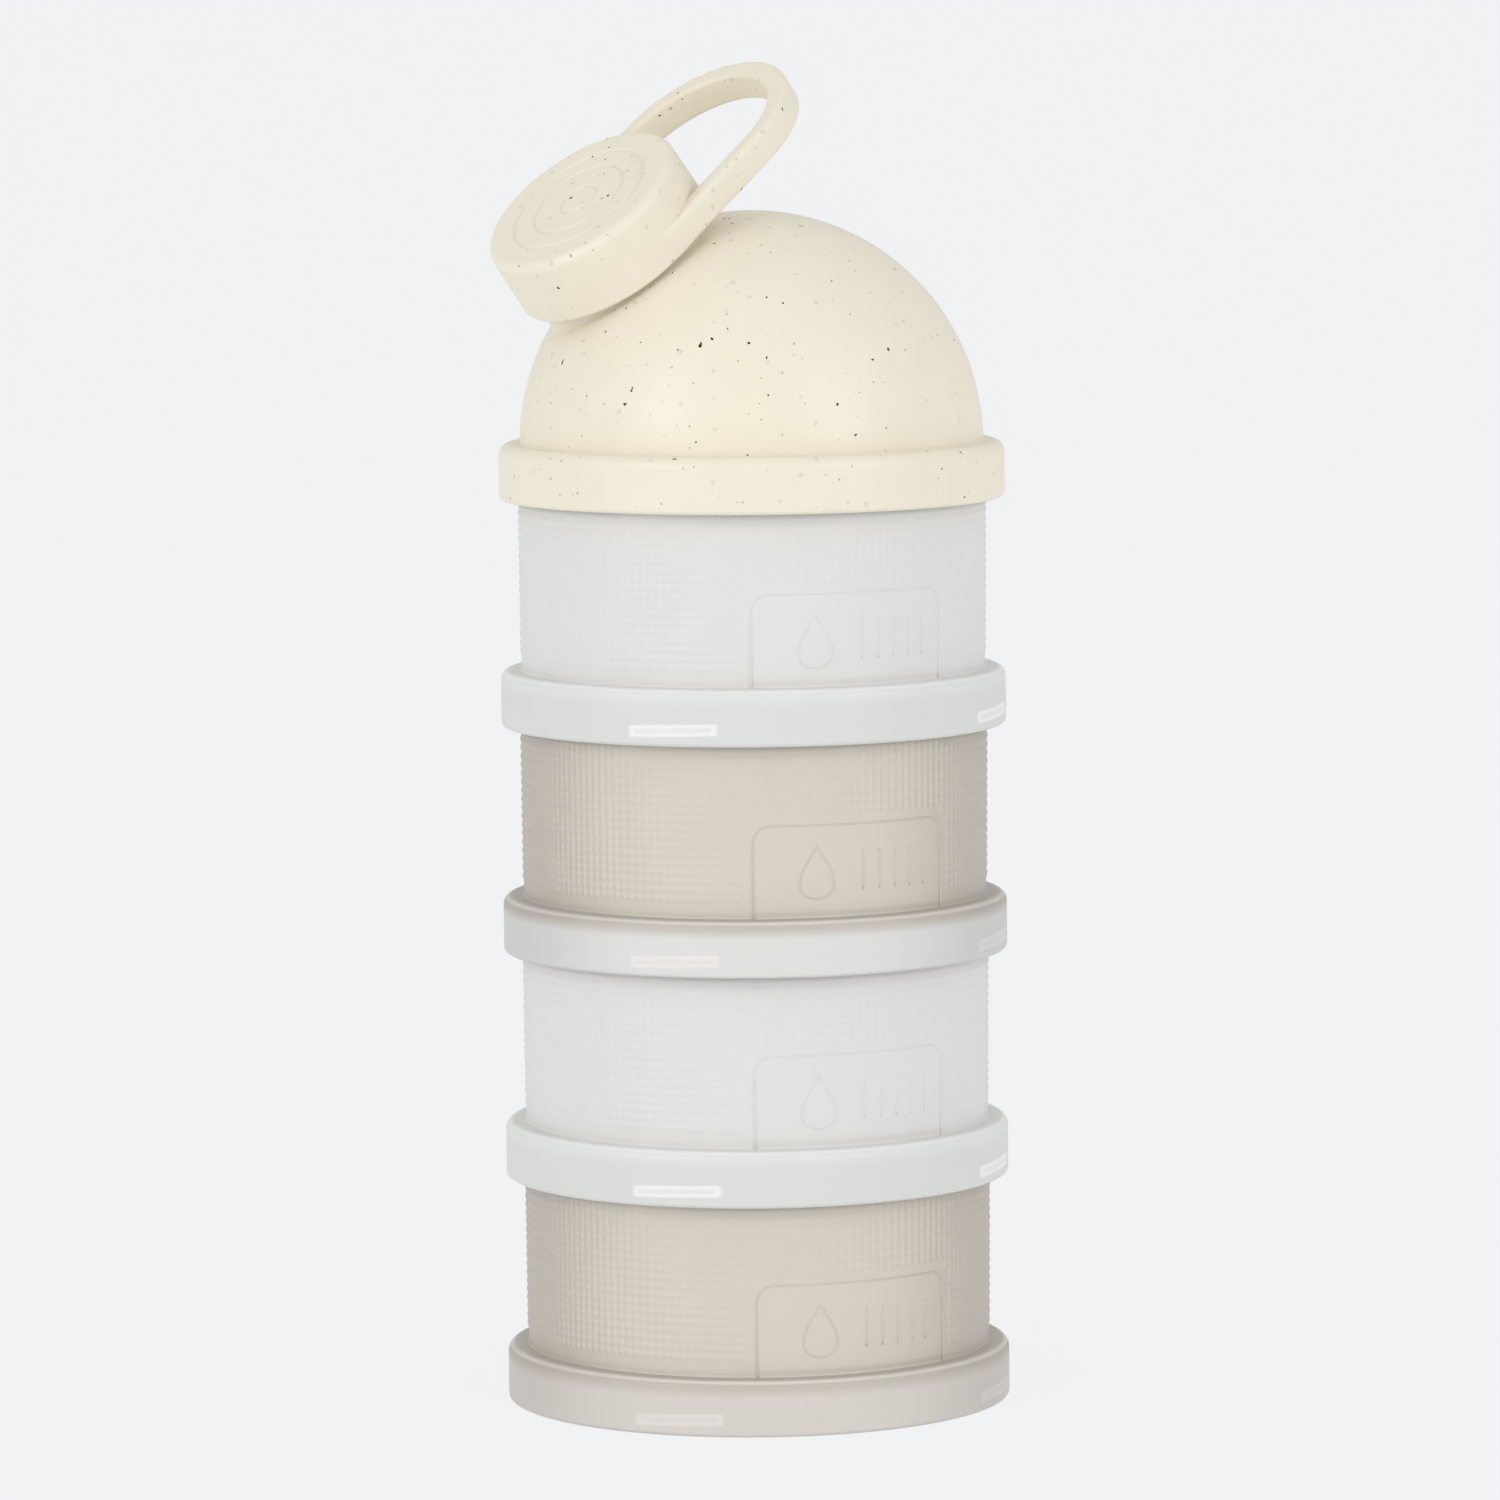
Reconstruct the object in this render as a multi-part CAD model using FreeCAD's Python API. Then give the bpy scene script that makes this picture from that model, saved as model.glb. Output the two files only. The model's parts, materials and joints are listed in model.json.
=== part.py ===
"""Stacking formula dispenser, in millimetres.

Four alike powder cups twist together in a stack, a pouring dome twists on to the top cup, and a
snap cap with a carrying loop closes the dome's slanted spout. A flat silicone ring seals each
joint of the stack, and a silicone liner seals the cap.

Frame: +Z up along the stack's axis, origin in the plane of the bottom rim, +X to the right and
+Y to the back, so that the cups' plain panels face -Y. Angles are degrees from +X, counter-
clockwise seen from above.
"""
import FreeCAD, Part
import math
import os

# Stack
CUP_COUNT = 4
PITCH = 39.5               # from one collar's rim to the next
BASE = FreeCAD.Vector(0, 0, 0)
UP = FreeCAD.Vector(0, 0, 1)

# Collar: the skirt of every cup and of the dome, which drops over the neck below
COLLAR_R = 44.0
COLLAR_WALL = 1.6
COLLAR_BORE = COLLAR_R - COLLAR_WALL
COLLAR_H = 9.8             # rim to the top of the ledge
LEDGE_T = 1.8
LEDGE_UNDER = COLLAR_H - LEDGE_T
RIM_ROUND = 0.8
CUP_LEDGE_ROUND = 1.6
DOME_LEDGE_ROUND = 2.0

# Cup
CUP_FOOT_R = 40.4          # wall radius at the ledge
CUP_HEAD_R = 40.6          # wall radius under the collar above
CUP_BORE = 39.0
CUP_CORNER = 3.0           # inside, between the floor and the wall
NECK_R = 40.2
NECK_H = 7.0               # the part of the wall that stands inside the collar above
NECK_ROUND = 0.5

# Plain panel on the side of each cup
PANEL_R = 40.75
PANEL_FROM = -90.5
PANEL_TO = -38.5
PANEL_TOP = 25.7
PANEL_CORNER = 3.0

# Four-start right-hand thread: lugs inside each collar, ramps outside each neck
STARTS = 4
LEAD = 24.0                # rise in one full turn
LUG_FROM = -119.5          # clockwise end of the first lug
LUG_SPAN = 22.0
LUG_Z = 1.3                # underside of a lug's clockwise end, above the rim
LUG_H = 2.4
LUG_R = 41.0               # how far in a lug reaches
RAMP_GAP = 0.3             # between a lug's top and the ramp over it
RAMP_H = 1.6
RAMP_R = 42.1              # how far out a ramp reaches
RAMP_SPAN = 20.0           # beyond the lug's clockwise end
STOP_GAP = 0.6             # degrees between a lug's clockwise end and its stop
STOP_SPAN = 2.5
STOP_FROM_Z = 0.4          # above the rim of the collar that it stops
STOP_TO_Z = 4.4
EMBED = 0.3                # how far lugs and ramps run into their wall

# Seal rings, and the grooves that keep them under the ledges
GROOVE_IN = 38.4
GROOVE_OUT = 41.4
GROOVE_DEPTH = 0.6
SEAL_GAP = 0.2
SEAL_FLAT_GAP = 0.1
SEAL_ROUND = 0.3

# Pouring dome
DOME_R = 40.34
DOME_WALL = 2.0
DOME_BORE = DOME_R - DOME_WALL
DOME_LIP_R = 37.2          # the ledge's inner lip, which slopes out to the dome's wall
DOME_LEVEL = 9.5           # of the sphere's centre, above the collar's rim

# Spout and cap: they share a leaning axis, which starts at the centre of the cap's rim
CAP_RIM_CENTRE = FreeCAD.Vector(-23.4, -7.7, 201.1)
CAP_LEAN = 39.3            # from the vertical
CAP_HEADING = 39.4         # the way the loop points; the cap leans the opposite way
SPOUT_R = 16.2
SPOUT_BORE = 14.2
SPOUT_TOP = 9.2            # above the cap's rim
SPOUT_ROOT = 18.0          # below the cap's rim, inside the dome
BEAD = 0.3
SPOUT_BEAD_Z = 3.4
CAP_BEAD_Z = 1.6
CAP_R = 18.5
CAP_TOP_R = 18.3
CAP_H = 12.3
CAP_BORE = 17.0
CAP_TOP_T = 1.6
CAP_EDGE = 1.6
CAP_RIM_ROUND = 0.5
RING_RADII = (3.5, 8.8, 12.8)
RING_WIDTH = 0.8
RING_DEPTH = 0.3
LINER_IN = 12.0
LINER_OUT = 16.7
LINER_T = 1.2
LINER_GAP = 0.1            # under the cap's top

# Carrying loop, moulded on to the cap's side
LOOP_TURN = -2.3           # about the cap's axis, from straight uphill
LOOP_H = 5.5
LOOP_HALF = 18.6
LOOP_CENTRE = 26.0         # of its outer end
LOOP_HOLE_HALF = 15.5
LOOP_HOLE_CENTRE = 24.9
LOOP_EDGE = 0.7
LOOP_INTO_CAP = 17.6       # the loop starts inside the cap's wall


def vec(r, z):
    """Point of a profile, in the XZ plane."""
    return FreeCAD.Vector(r, 0, z)


def outline(corners):
    """Closed wire through (r, z, rounding) corners, with tangent arcs where the rounding isn't 0."""
    ends = []
    arcs = []
    count = len(corners)
    for i, (r, z, rounding) in enumerate(corners):
        corner = vec(r, z)
        if rounding == 0:
            ends.append((corner, corner))
            arcs.append(None)
            continue
        before = vec(*corners[i - 1][:2]) - corner
        after = vec(*corners[(i + 1) % count][:2]) - corner
        before.normalize()
        after.normalize()
        half = before.getAngle(after) / 2
        middle = before + after
        middle.normalize()
        reach = rounding / math.tan(half)
        start = corner + before * reach
        end = corner + after * reach
        bulge = corner + middle * (rounding / math.sin(half) - rounding)
        ends.append((start, end))
        arcs.append(Part.Arc(start, bulge, end).toShape())
    edges = []
    for i in range(count):
        if arcs[i]:
            edges.append(arcs[i])
        leave = ends[i][1]
        arrive = ends[(i + 1) % count][0]
        if leave.distanceToPoint(arrive) > 1e-6:
            edges.append(Part.makeLine(leave, arrive))
    return Part.Wire(edges)


def turned(corners, from_deg=0.0, span_deg=360.0):
    """Profile turned about the stack's axis, from one angle through a span."""
    solid = Part.Face(outline(corners)).revolve(BASE, UP, span_deg)
    solid.rotate(BASE, UP, from_deg)
    return solid


def block(r_in, r_out, z_low, z_high):
    """Square-cornered ring profile."""
    return [(r_in, z_low, 0), (r_out, z_low, 0), (r_out, z_high, 0), (r_in, z_high, 0)]


def thread_band(r_in, r_out, z, height, from_deg, span_deg):
    """Band of rectangular section that climbs along the thread from its clockwise end."""
    spine = Part.makeHelix(LEAD, LEAD * span_deg / 360.0, (r_in + r_out) / 2)
    section = outline(block(r_in, r_out, 0, height))
    band = Part.Wire(spine.Edges).makePipeShell([section], True, True)
    band.rotate(BASE, UP, from_deg)
    band.translate(UP * z)
    return band


def around(make_one):
    """One solid per thread start."""
    return [make_one(i * 360.0 / STARTS) for i in range(STARTS)]


def fused(solids):
    """One clean solid from overlapping ones."""
    whole = solids[0].multiFuse(solids[1:]).removeSplitter()
    if len(whole.Solids) != 1:
        raise ValueError("expected one solid, got %d" % len(whole.Solids))
    return whole.Solids[0]


def collar(ledge_round, inner_edge):
    """Skirt, ledge, seal groove and lugs, with the rim at z = 0.

    inner_edge holds the ledge's corners on its inner side, from the top down.
    """
    groove_top = LEDGE_UNDER + GROOVE_DEPTH
    ring = turned([
        (COLLAR_BORE, 0, EMBED),
        (COLLAR_R, 0, RIM_ROUND),
        (COLLAR_R, COLLAR_H, ledge_round),
    ] + inner_edge + [
        (GROOVE_IN, LEDGE_UNDER, 0),
        (GROOVE_IN, groove_top, 0),
        (GROOVE_OUT, groove_top, 0),
        (GROOVE_OUT, LEDGE_UNDER, 0),
        (COLLAR_BORE, LEDGE_UNDER, 0),
    ])
    lugs = around(lambda turn: thread_band(
        LUG_R, COLLAR_BORE + EMBED, LUG_Z, LUG_H, LUG_FROM + turn, LUG_SPAN))
    return [ring] + lugs


def neck_thread():
    """Ramps and stops outside a cup's neck, for the collar whose rim is at z = PITCH."""
    lead_in = STOP_GAP + STOP_SPAN
    climb = LEAD / 360.0
    ramp_z = PITCH + LUG_Z + LUG_H + RAMP_GAP - lead_in * climb
    ramps = around(lambda turn: thread_band(
        NECK_R - EMBED, RAMP_R, ramp_z, RAMP_H, LUG_FROM - lead_in + turn, lead_in + RAMP_SPAN))
    stop = block(NECK_R - EMBED, RAMP_R, PITCH + STOP_FROM_Z, PITCH + STOP_TO_Z)
    stops = around(lambda turn: turned(stop, LUG_FROM - lead_in + turn, STOP_SPAN))
    return ramps + stops


def panel():
    """Plain panel, standing on the ledge, with its two top corners rounded."""
    pad = turned(block(NECK_R, PANEL_R, COLLAR_H - EMBED, PANEL_TOP), PANEL_FROM, PANEL_TO - PANEL_FROM)
    corners = [e for e in pad.Edges
               if e.BoundBox.ZMin > PANEL_TOP - 0.01 and isinstance(e.Curve, Part.Line)]
    return pad.makeFillet(PANEL_CORNER, corners)


def powder_cup():
    """Cup, floor, collar, lugs and neck thread: one moulding, with its rim at z = 0."""
    wall = turned([
        (0, COLLAR_H, 0),
        (0, LEDGE_UNDER, 0),
        (GROOVE_IN - EMBED, LEDGE_UNDER, 0),
        (GROOVE_IN - EMBED, LEDGE_UNDER + GROOVE_DEPTH, 0),
        (CUP_FOOT_R, LEDGE_UNDER + GROOVE_DEPTH, 0),
        (CUP_FOOT_R, COLLAR_H, 0),
        (CUP_HEAD_R, PITCH, 0),
        (NECK_R, PITCH, 0),
        (NECK_R, PITCH + NECK_H, NECK_ROUND),
        (CUP_BORE, PITCH + NECK_H, NECK_ROUND),
        (CUP_BORE, COLLAR_H, CUP_CORNER),
    ])
    into_floor = GROOVE_IN - EMBED
    plate_edge = [(into_floor, COLLAR_H, 0), (into_floor, LEDGE_UNDER, 0)]
    return fused([wall, panel()] + neck_thread() + collar(CUP_LEDGE_ROUND, plate_edge))


def seal_ring():
    """Flat silicone ring in the groove under a ledge, pressed on the rim of the neck below."""
    low = NECK_H + SEAL_FLAT_GAP
    high = LEDGE_UNDER + GROOVE_DEPTH - SEAL_FLAT_GAP
    inner = GROOVE_IN + SEAL_GAP
    outer = GROOVE_OUT - SEAL_GAP
    return turned([(inner, low, SEAL_ROUND), (outer, low, SEAL_ROUND),
                   (outer, high, SEAL_ROUND), (inner, high, SEAL_ROUND)])


def on_cap_axis(solid):
    """Solid moved from the cap's own frame, where z = 0 is the rim, to the leaning axis."""
    heading = FreeCAD.Rotation(UP, CAP_HEADING)
    lean = FreeCAD.Rotation(FreeCAD.Vector(0, 1, 0), -CAP_LEAN)
    placed = solid.copy()
    placed.Placement = FreeCAD.Placement(CAP_RIM_CENTRE, heading * lean).multiply(placed.Placement)
    return placed


def pouring_dome():
    """Hollow dome with its collar and the open spout."""
    foot = UP * (CUP_COUNT * PITCH)
    centre = foot + UP * DOME_LEVEL
    outside = Part.makeSphere(DOME_R, centre, UP, 0, 90, 360)
    inside = Part.makeSphere(DOME_BORE, centre)
    lip = [(DOME_BORE + EMBED, COLLAR_H, 0), (DOME_BORE, DOME_LEVEL, 0), (DOME_LIP_R, LEDGE_UNDER, 0)]
    base = [part.translated(foot) for part in collar(DOME_LEDGE_ROUND, lip)]
    tube = on_cap_axis(turned([
        (0, -SPOUT_ROOT, 0),
        (SPOUT_R, -SPOUT_ROOT, 0),
        (SPOUT_R, SPOUT_BEAD_Z - BEAD, 0),
        (SPOUT_R + BEAD, SPOUT_BEAD_Z, 0),
        (SPOUT_R, SPOUT_BEAD_Z + BEAD, 0),
        (SPOUT_R, SPOUT_TOP, NECK_ROUND),
        (0, SPOUT_TOP, 0),
    ]))
    bore = on_cap_axis(turned(block(0, SPOUT_BORE, -SPOUT_ROOT, SPOUT_TOP + 1)))
    return fused([outside.cut(inside), tube.cut(inside)] + base).cut(bore)


def cap_body():
    """Round cap, open below, with shallow rings sunk in its top."""
    top = []
    for radius in reversed(RING_RADII):
        top += [(radius + RING_WIDTH / 2, CAP_H, 0), (radius + RING_WIDTH / 2, CAP_H - RING_DEPTH, 0),
                (radius - RING_WIDTH / 2, CAP_H - RING_DEPTH, 0), (radius - RING_WIDTH / 2, CAP_H, 0)]
    return turned([
        (CAP_BORE, 0, 0),
        (CAP_R, 0, CAP_RIM_ROUND),
        (CAP_TOP_R, CAP_H, CAP_EDGE),
    ] + top + [
        (0, CAP_H, 0),
        (0, CAP_H - CAP_TOP_T, 0),
        (CAP_BORE, CAP_H - CAP_TOP_T, 0),
        (CAP_BORE, CAP_BEAD_Z + BEAD, 0),
        (CAP_BORE - BEAD, CAP_BEAD_Z, 0),
        (CAP_BORE, CAP_BEAD_Z - BEAD, 0),
    ])


def stadium(half, centre, height):
    """Prism from the cap's axis out along +X, with a round end."""
    low = FreeCAD.Vector(0, -half, 0)
    high = FreeCAD.Vector(0, half, 0)
    low_end = FreeCAD.Vector(centre, -half, 0)
    high_end = FreeCAD.Vector(centre, half, 0)
    tip = FreeCAD.Vector(centre + half, 0, 0)
    wire = Part.Wire([Part.makeLine(high, low), Part.makeLine(low, low_end),
                      Part.Arc(low_end, tip, high_end).toShape(), Part.makeLine(high_end, high)])
    return Part.Face(wire).extrude(UP * height)


def loop():
    """Flat band carrying loop, whose arms leave the cap's side along its tangents."""
    band = stadium(LOOP_HALF, LOOP_CENTRE, LOOP_H).cut(
        stadium(LOOP_HOLE_HALF, LOOP_HOLE_CENTRE, LOOP_H))
    rims = [e for e in band.Edges
            if e.BoundBox.ZLength < 1e-6 and e.BoundBox.XMax > LOOP_HALF]
    band = band.makeFillet(LOOP_EDGE, rims)
    band = band.cut(Part.makeCylinder(LOOP_INTO_CAP, LOOP_H))
    band.rotate(BASE, UP, LOOP_TURN)
    return band


def spout_cap():
    """Cap and loop: one moulding."""
    return on_cap_axis(fused([cap_body(), loop()]))


def cap_liner():
    """Silicone ring under the cap's top, which the spout's rim presses on."""
    high = CAP_H - CAP_TOP_T - LINER_GAP
    return on_cap_axis(turned(block(LINER_IN, LINER_OUT, high - LINER_T, high)))


def nodes():
    """Every sub-part by its name, cup 1 at the bottom."""
    parts = {}
    cup = powder_cup()
    seal = seal_ring()
    for i in range(CUP_COUNT):
        parts["powder_cup_%d" % (i + 1)] = cup.translated(UP * (i * PITCH))
        parts["cup_seal_%d" % (i + 1)] = seal.translated(UP * (i * PITCH))
    parts["dome_seal"] = seal.translated(UP * (CUP_COUNT * PITCH))
    parts["pouring_dome"] = pouring_dome()
    parts["cap_liner"] = cap_liner()
    parts["spout_cap"] = spout_cap()
    return parts


def main():
    os.makedirs("parts", exist_ok=True)
    for name, shape in nodes().items():
        if not shape.isValid():
            raise ValueError("%s is not a valid shape" % name)
        shape.exportStep("parts/%s.step" % name)
        print("%-14s %8.2f cm3  faces %d" % (name, shape.Volume / 1000, len(shape.Faces)))


if __name__ == "__main__":
    main()
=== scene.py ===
"""Formula dispenser: the visual model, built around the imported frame.

Lengths are metres, as in the frame: +Z up along the stack, the plain panels face -Y, and the
spout leans towards -X and -Y. Every moulded piece is a surface worked out on a grid and rides on
the body of the CAD node that it stands for. The seal rings and the cap's liner keep their CAD shapes.
"""
import json
import math

import bpy
import numpy as np
from bpy.props import FloatProperty, FloatVectorProperty, IntProperty, PointerProperty
from mathutils import Matrix, Vector


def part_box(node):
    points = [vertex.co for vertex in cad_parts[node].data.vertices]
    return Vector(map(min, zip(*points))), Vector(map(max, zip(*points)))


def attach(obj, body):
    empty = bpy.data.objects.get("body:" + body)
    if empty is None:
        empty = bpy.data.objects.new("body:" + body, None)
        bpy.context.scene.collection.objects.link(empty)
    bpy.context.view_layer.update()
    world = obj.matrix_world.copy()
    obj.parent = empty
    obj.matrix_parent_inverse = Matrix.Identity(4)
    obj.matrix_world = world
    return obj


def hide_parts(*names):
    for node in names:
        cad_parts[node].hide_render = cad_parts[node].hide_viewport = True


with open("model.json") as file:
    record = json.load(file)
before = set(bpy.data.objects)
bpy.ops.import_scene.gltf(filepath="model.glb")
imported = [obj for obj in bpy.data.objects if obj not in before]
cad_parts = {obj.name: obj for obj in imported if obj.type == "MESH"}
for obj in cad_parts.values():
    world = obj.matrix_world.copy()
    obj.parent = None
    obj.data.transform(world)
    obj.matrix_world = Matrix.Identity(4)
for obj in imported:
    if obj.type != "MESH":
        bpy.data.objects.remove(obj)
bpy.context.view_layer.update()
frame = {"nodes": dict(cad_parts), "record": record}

bl_info = {
    "name": "Stacking formula dispenser",
    "version": (1, 0, 0),
    "blender": (4, 5, 0),
    "location": "View3D > Sidebar > Dispenser",
    "description": "Builds the cups, dome, cap, seals and studio of a stacking formula dispenser",
    "category": "Add Mesh",
}

MM = 0.001
TURN = 2 * math.pi

# The cups, from the bottom, and the stack's spacing, from the frame.
CUPS = ("powder_cup_1", "powder_cup_2", "powder_cup_3", "powder_cup_4")
SEALS = ("cup_seal_1", "cup_seal_2", "cup_seal_3", "cup_seal_4", "dome_seal")
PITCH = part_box("powder_cup_2")[0][2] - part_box("powder_cup_1")[0][2]
DOME_FOOT = PITCH * len(CUPS)
COLLAR_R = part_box("powder_cup_1")[1][1]

# Collar, ledge and groove, which the cups and the dome share.
COLLAR_BORE = COLLAR_R - 1.6 * MM
LEDGE_TOP = 9.8 * MM
LEDGE_UNDER = 8.0 * MM
GROOVE_TOP = 8.6 * MM
GROOVE_IN = 38.4 * MM
GROOVE_OUT = 41.4 * MM

# Cup wall, neck and thread.
WALL_FOOT_R = 40.4 * MM
WALL_HEAD_R = 40.6 * MM
NECK_R = 40.2 * MM
NECK_TOP = PITCH + 7.0 * MM
CUP_BORE = 39.0 * MM
STARTS = 4
LEAD = 24.0 * MM
LUG_FROM = -119.5
LUG_SPAN = 22.0
LUG_Z = 1.3 * MM
LUG_H = 2.4 * MM
LUG_R = 41.0 * MM
RAMP_R = 42.1 * MM
RAMP_H = 1.6 * MM
RAMP_LEAD_IN = 3.1
RAMP_SPAN = 20.0
EMBED = 0.3 * MM
SEAM = 0.05 * MM
POLE_R = 2 * MM

# Painted light on the outside of the collar, where each hidden lug shows through: a pale bar with a fainter
# core.
LUG_LIGHT_Z = 2.55 * MM
LUG_LIGHT_LEAD = 8.5 * MM
LUG_LIGHT_BAR = 0.8 * MM
LUG_LIGHT_CORE = 0.2 * MM
LUG_LIGHT_FADE = 0.4 * MM
LUG_LIGHT_END_FADE = math.radians(1.35)
CORE_FAINTER = 0.45

# Stops at the ends of the ramps, and the run-out at the foot of the wall.
STOP_Z = 0.4 * MM
STOP_H = 4.0 * MM
STOP_SPAN = 2.5
FOOT_RUN = 0.6 * MM

# Panel and its relief.
PANEL_RISE = 0.15 * MM
PANEL_CORNER = 3.0 * MM
PANEL_EDGE = 0.5 * MM
PANEL_MARGIN = 1.3
RIDGE_LIFT = 0.03 * MM
OUTLINE_RIDGE = 0.14 * MM
MARK_RIDGE = 0.15 * MM
MARK_LEVEL = 17.8 * MM
DROP_ANGLE = -75.0
DROP_HALF_WIDTH = 4.3 * MM
DROP_HALF_HEIGHT = 4.6 * MM
TICKS_FROM = -63.0
TICKS_TO = -45.0
TICK_HALF = 3.4 * MM

# Dome, spout and cap: the cap's axis and the centre of its rim come from its joint.
DOME_R = 40.34 * MM
DOME_WALL = 2.0 * MM
DOME_LEVEL = 9.5 * MM
DOME_LIP_R = 37.2 * MM
DOME_CENTRE_Z = DOME_FOOT + DOME_LEVEL
CAP_JOINT = next(j for j in frame["record"]["behaviour"]["joints"] if j["name"] == "cap_turn")
CAP_CENTRE = np.array(CAP_JOINT["pos_m"])
CAP_AXIS = np.array(CAP_JOINT["axis"]) / np.linalg.norm(CAP_JOINT["axis"])
CAP_HEADING = math.atan2(-CAP_AXIS[1], -CAP_AXIS[0])
SPOUT_R = 16.2 * MM
SPOUT_BORE = 14.2 * MM
SPOUT_TOP = 9.2 * MM
BEAD = 0.3 * MM
SPOUT_BEAD_Z = 3.4 * MM
CAP_BEAD_Z = 1.6 * MM
CAP_R = 18.5 * MM
CAP_TOP_R = 18.3 * MM
CAP_H = 12.3 * MM
CAP_BORE = 17.0 * MM
CAP_TOP_T = 1.6 * MM
CAP_RINGS = (3.5 * MM, 8.8 * MM, 12.8 * MM)
RING_WIDTH = 1.1 * MM
RING_DEPTH = 0.32 * MM
LOOP_TURN = math.radians(-2.3)
LOOP_H = 5.5 * MM
LOOP_HALF = 18.6 * MM
LOOP_CENTRE = 26.0 * MM
LOOP_HOLE_HALF = 15.5 * MM
LOOP_HOLE_CENTRE = 24.9 * MM
LOOP_ROOT_R = 17.6 * MM
LOOP_RUN_IN = 2.5 * MM
LOOP_SINK = 0.7 * MM

SPECKLED = "Polypropylene_speckled_satin"

# Studio.
FLOOR_R = 40.0
FLOOR_DROP = 0.05 * MM
PAPER_GLOW = 1.02
PAPER_MATT = 0.06
KEY_PLACE = (-1.1, -1.05, 0.64)
FILL_PLACE = (1.1, -1.05, 0.64)
SOFTBOX_SIZE = 0.9


def linear(hex_colour):
    """Linear RGB and alpha 1 from an sRGB hex colour, by the sRGB curve."""
    channels = [int(hex_colour[i:i + 2], 16) / 255 for i in (0, 2, 4)]
    curve = [c / 12.92 if c <= 0.04045 else ((c + 0.055) / 1.055) ** 2.4 for c in channels]
    return (*curve, 1.0)


# ---------------------------------------------------------------- settings

class CupSettings(bpy.types.PropertyGroup):
    texture_pitch: FloatProperty(
        name="Texture pitch", description="Distance between bumps of the wall's grid",
        default=1.5 * MM, unit="LENGTH")
    texture_relief: FloatProperty(
        name="Texture relief", description="Height of a bump above the wall",
        default=0.22 * MM, unit="LENGTH")
    texture_foot: FloatProperty(
        name="Texture foot", description="Height above the collar's rim where the bumps start",
        default=12.4 * MM, unit="LENGTH")
    panel_from: FloatProperty(
        name="Panel from", description="Angle of the panel's left side",
        default=math.radians(-90.5), subtype="ANGLE")
    panel_to: FloatProperty(
        name="Panel to", description="Angle of the panel's right side",
        default=math.radians(-38.5), subtype="ANGLE")
    panel_top: FloatProperty(
        name="Panel top", description="Height of the panel's top above the collar's rim",
        default=25.7 * MM, unit="LENGTH")
    clear: FloatVectorProperty(
        name="Clear", description="Colour of the natural frosted cups",
        default=linear("EAE9E5"), size=4, subtype="COLOR")
    taupe: FloatVectorProperty(
        name="Taupe", description="Colour of the smoky taupe cups",
        default=linear("DCD4C8"), size=4, subtype="COLOR")


class DomeSettings(bpy.types.PropertyGroup):
    columns: IntProperty(
        name="Columns", description="Faces round the dome and the cap", default=256)
    cream: FloatVectorProperty(
        name="Cream", description="Colour of the dome and the cap",
        default=linear("E9E1CD"), size=4, subtype="COLOR")
    speck: FloatVectorProperty(
        name="Speck", description="Colour of the dark fibres in the plastic",
        default=linear("1E1812"), size=4, subtype="COLOR")


class StageSettings(bpy.types.PropertyGroup):
    backdrop: FloatVectorProperty(
        name="Backdrop", description="Colour of the floor and the backdrop",
        default=linear("F0F1F3"), size=4, subtype="COLOR")
    camera_distance: FloatProperty(
        name="Camera distance", description="From the stack's axis to the camera, level",
        default=1.4759, unit="LENGTH")
    camera_side: FloatProperty(
        name="Camera side", description="How far the camera and its aim stand off the stack's axis",
        default=-0.0007, unit="LENGTH")
    camera_height: FloatProperty(
        name="Camera height", description="Height of the camera above the floor",
        default=0.2644, unit="LENGTH")
    aim_height: FloatProperty(
        name="Aim height", description="Height on the stack's axis that the camera looks at",
        default=0.1137, unit="LENGTH")
    camera_roll: FloatProperty(
        name="Camera roll", description="Turn of the camera about its line of sight",
        default=-0.0084, subtype="ANGLE")
    lens: FloatProperty(
        name="Lens", description="Focal length in millimetres on a 36 mm sensor", default=203.9)
    surround: FloatProperty(
        name="Surround", description="Strength of the light from all round; seen directly it is 1",
        default=0.85)
    key_power: FloatProperty(
        name="Key power", description="Power of the soft light at the front left",
        default=6.8, unit="POWER")
    fill_power: FloatProperty(
        name="Fill power", description="Power of the soft light at the front right",
        default=5.5, unit="POWER")


# ---------------------------------------------------------------- surfaces

def unit(vectors):
    """Vectors over their own lengths."""
    return vectors / np.linalg.norm(vectors, axis=-1, keepdims=True)


def rounded(corners, step=math.radians(12), hold=0.12 * MM):
    """Open profile through (r, z, rounding) corners.

    A rounded corner is the arc tangent to both of its runs, in steps of equal angle, and a
    long run keeps a point near each end, so that flats shade flat.
    """
    points = [np.array(corners[0][:2])]
    for i in range(1, len(corners) - 1):
        corner = np.array(corners[i][:2])
        before = unit(np.array(corners[i - 1][:2]) - corner)
        after = unit(np.array(corners[i + 1][:2]) - corner)
        half = math.acos(np.clip(before @ after, -1, 1)) / 2
        sweep = math.pi - 2 * half
        radius = corners[i][2]
        centre = corner + unit(before + after) * radius / math.sin(half)
        reach = radius / math.tan(half)
        t = np.linspace(0, 1, max(3, math.ceil(sweep / step) + 1))[:, None]
        spokes = (np.sin((1 - t) * sweep) * (corner + before * reach - centre)
                  + np.sin(t * sweep) * (corner + after * reach - centre)) / math.sin(sweep)
        points.extend(centre + spokes)
    points.append(np.array(corners[-1][:2]))
    points = np.array(points)
    runs = np.diff(points, axis=0)
    lengths = np.linalg.norm(runs, axis=1)
    long = np.flatnonzero(lengths > 4 * hold)
    steps = runs[long] / lengths[long, None] * hold
    near = np.concatenate([points[long] + steps, points[long + 1] - steps])
    order = np.argsort(np.concatenate([np.arange(len(points)), long + 0.3, long + 0.6]))
    return np.concatenate([points, near])[order]


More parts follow.
